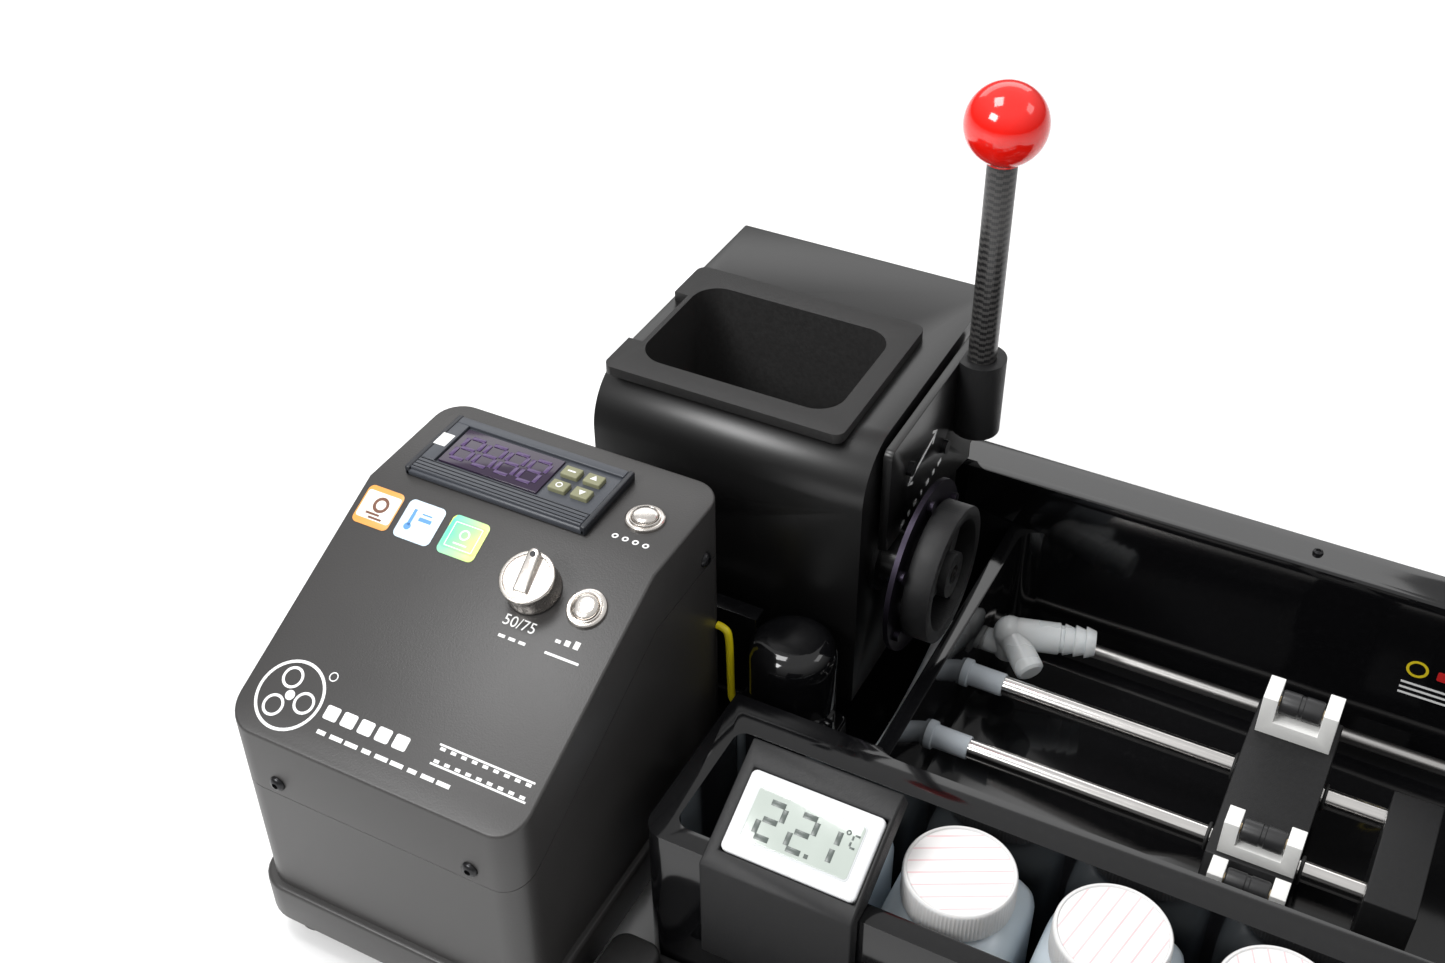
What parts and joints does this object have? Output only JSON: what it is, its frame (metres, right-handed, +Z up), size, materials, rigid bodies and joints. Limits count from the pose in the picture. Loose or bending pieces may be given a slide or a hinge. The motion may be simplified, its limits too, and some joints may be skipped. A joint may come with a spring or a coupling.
{
  "type": "rotary film processor",
  "caption": "Tempered-water rotary film processor with a control unit, bottle rack, sliding roller carriage and a tilting motor head with a hopper and lever.",
  "frame": {"origin": "on the surface that the feet stand on, under the middle foot of the tub", "axes": "+X to the right along the trough, +Y to the rear, +Z up"},
  "size_m": [0.453, 0.3003, 0.273],
  "materials": {
    "case_plastic": "fine textured dark grey",
    "steel": "polished stainless",
    "controller_plastic": "satin slate grey",
    "key_rubber": "matt khaki",
    "bright_metal": "satin nickel",
    "supply_metal": "plain sheet",
    "board_green": "solder mask",
    "gloss_black": "high gloss",
    "printed_black": "layered print",
    "rubber_black": "matt",
    "white_plastic": "satin white",
    "brass_pin": "turned",
    "clear_hose": "milky silicone",
    "yellow_cable": "satin jacket",
    "powder_black": "satin powder coat",
    "disc_metal": "purple-grey anodised",
    "carbon": "woven twill under clear coat",
    "red_ball": "high gloss",
    "bottle_plastic": "translucent HDPE"
  },
  "bodies": {
    "base": {"control_top_cover": "case_plastic", "control_body": "case_plastic", "control_base_plate": "case_plastic", "cover_screws": "steel", "temperature_controller": "controller_plastic", "button_bezels": "bright_metal", "power_supply": "supply_metal", "control_circuit_board": "board_green", "power_inlet": "gloss_black", "tub": "gloss_black", "base_plinth": "printed_black", "rubber_feet": "rubber_black", "rod_rear": "steel", "rod_front": "steel", "rod_end_block": "printed_black", "circulation_pump": "gloss_black", "pump_hose": "clear_hose", "hose_elbow": "white_plastic", "heater_element": "steel", "pump_cable": "yellow_cable", "pivot_brackets": "supply_metal", "pivot_pin": "steel"},
    "set_key": {"key_set": "key_rubber"},
    "up_key": {"key_up": "key_rubber"},
    "reset_key": {"key_reset": "key_rubber"},
    "down_key": {"key_down": "key_rubber"},
    "pump_switch": {"pump_button": "bright_metal"},
    "low_speed_switch": {"low_speed_button": "bright_metal"},
    "speed_dial": {"speed_knob": "bright_metal"},
    "roller_carriage": {"roller_block": "printed_black", "rod_rings": "rubber_black", "roller_brackets": "white_plastic", "roller_pins": "brass_pin"},
    "rear_roller": {"roller_rear": "rubber_black"},
    "middle_roller": {"roller_middle": "rubber_black"},
    "front_roller": {"roller_front": "rubber_black"},
    "impeller": {"pump_impeller": "white_plastic"},
    "lift_head": {"lift_housing": "powder_black", "lever_plate": "powder_black", "plate_screws": "steel", "lever_socket": "printed_black", "lever_tube": "carbon", "lever_ball": "red_ball", "drive_motor": "supply_metal", "drive_belt": "rubber_black", "shaft_bearings": "powder_black"},
    "hopper": {"hopper_cup": "printed_black"},
    "motor_rotor": {"motor_pulley": "brass_pin"},
    "drive": {"drive_shaft": "steel", "drive_coupling": "powder_black", "coupling_disc": "disc_metal"},
    "thermometer": {"thermometer_holder": "printed_black", "thermometer_module": "white_plastic"},
    "bottle_1_body": {"bottle_1": "bottle_plastic"},
    "bottle_2_body": {"bottle_2": "bottle_plastic"},
    "bottle_3_body": {"bottle_3": "bottle_plastic"},
    "bottle_4_body": {"bottle_4": "bottle_plastic"},
    "cap_2": {"bottle_cap_2": "white_plastic"},
    "cap_3": {"bottle_cap_3": "white_plastic"},
    "cap_4": {"bottle_cap_4": "white_plastic"}
  },
  "joints": [
    {"name": "key_set_press", "type": "slide", "parent": "base", "child": "set_key", "axis": [0, 0, -1], "range_m": [0, 0.0007], "stiffness_N_per_m": 900, "springref_m": -0.0004},
    {"name": "key_up_press", "type": "slide", "parent": "base", "child": "up_key", "axis": [0, 0, -1], "range_m": [0, 0.0007], "stiffness_N_per_m": 900, "springref_m": -0.0004},
    {"name": "key_reset_press", "type": "slide", "parent": "base", "child": "reset_key", "axis": [0, 0, -1], "range_m": [0, 0.0007], "stiffness_N_per_m": 900, "springref_m": -0.0004},
    {"name": "key_down_press", "type": "slide", "parent": "base", "child": "down_key", "axis": [0, 0, -1], "range_m": [0, 0.0007], "stiffness_N_per_m": 900, "springref_m": -0.0004},
    {"name": "pump_button_press", "type": "slide", "parent": "base", "child": "pump_switch", "axis": [0, 0, -1], "range_m": [0, 0.0015], "stiffness_N_per_m": 800, "springref_m": -0.0006},
    {"name": "low_speed_button_press", "type": "slide", "parent": "base", "child": "low_speed_switch", "axis": [0, 0.4084, -0.9128], "range_m": [0, 0.0015], "stiffness_N_per_m": 800, "springref_m": -0.0006},
    {"name": "speed_knob_turn", "type": "hinge", "parent": "base", "child": "speed_dial", "pos_m": [-0.1699, -0.07316, 0.14382], "axis": [0, 0.4084, -0.9128], "range_deg": [-60, 210]},
    {"name": "roller_carriage_slide", "type": "slide", "parent": "base", "child": "roller_carriage", "axis": [1, 0, 0], "range_m": [-0.078, 0.02]},
    {"name": "roller_rear_spin", "type": "hinge", "parent": "roller_carriage", "child": "rear_roller", "pos_m": [0.06775, 0.0725, 0.0645], "axis": [1, 0, 0], "continuous": true},
    {"name": "roller_middle_spin", "type": "hinge", "parent": "roller_carriage", "child": "middle_roller", "pos_m": [0.06775, 0.018, 0.051], "axis": [1, 0, 0], "continuous": true},
    {"name": "roller_front_spin", "type": "hinge", "parent": "roller_carriage", "child": "front_roller", "pos_m": [0.06775, 0.001, 0.042], "axis": [1, 0, 0], "continuous": true},
    {"name": "impeller_spin", "type": "hinge", "parent": "base", "child": "impeller", "pos_m": [-0.106, -0.004, 0.024], "axis": [0, 0, 1], "continuous": true},
    {"name": "lift_tilt", "type": "hinge", "parent": "base", "child": "lift_head", "pos_m": [-0.192, 0.08, 0.102], "axis": [0, -1, 0], "range_deg": [0, 60]},
    {"name": "hopper_lift_out", "type": "slide", "parent": "lift_head", "child": "hopper", "axis": [0, 0, 1], "range_m": [0, 0.06]},
    {"name": "coupling_spin", "type": "hinge", "parent": "lift_head", "child": "drive", "pos_m": [-0.067, 0.042, 0.102], "axis": [1, 0, 0], "continuous": true},
    {"name": "motor_spin", "type": "hinge", "parent": "lift_head", "child": "motor_rotor", "pos_m": [-0.1, 0.084, 0.074], "axis": [1, 0, 0], "continuous": true},
    {"name": "thermometer_lift_off", "type": "slide", "parent": "base", "child": "thermometer", "axis": [0, 0, 1], "range_m": [0, 0.08]},
    {"name": "bottle_1_lift_out", "type": "slide", "parent": "base", "child": "bottle_1_body", "axis": [0, 0, 1], "range_m": [0, 0.08]},
    {"name": "bottle_2_lift_out", "type": "slide", "parent": "base", "child": "bottle_2_body", "axis": [0.0599, 0, 0.9982], "range_m": [0, 0.08]},
    {"name": "bottle_3_lift_out", "type": "slide", "parent": "base", "child": "bottle_3_body", "axis": [0, 0, 1], "range_m": [0, 0.08]},
    {"name": "bottle_4_lift_out", "type": "slide", "parent": "base", "child": "bottle_4_body", "axis": [0, 0, 1], "range_m": [0, 0.08]},
    {"name": "cap_2_lift_off", "type": "slide", "parent": "bottle_2_body", "child": "cap_2", "axis": [0, 0, 1], "range_m": [0, 0.02]},
    {"name": "cap_3_lift_off", "type": "slide", "parent": "bottle_3_body", "child": "cap_3", "axis": [0, 0, 1], "range_m": [0, 0.02]},
    {"name": "cap_4_lift_off", "type": "slide", "parent": "bottle_4_body", "child": "cap_4", "axis": [0, 0, 1], "range_m": [0, 0.02]}
  ],
  "couplings": [
    {"joint": "motor_spin", "follows": "coupling_spin", "ratio": 2},
    {"joint": "bottle_1_lift_out", "follows": "thermometer_lift_off", "ratio": 1}
  ]
}
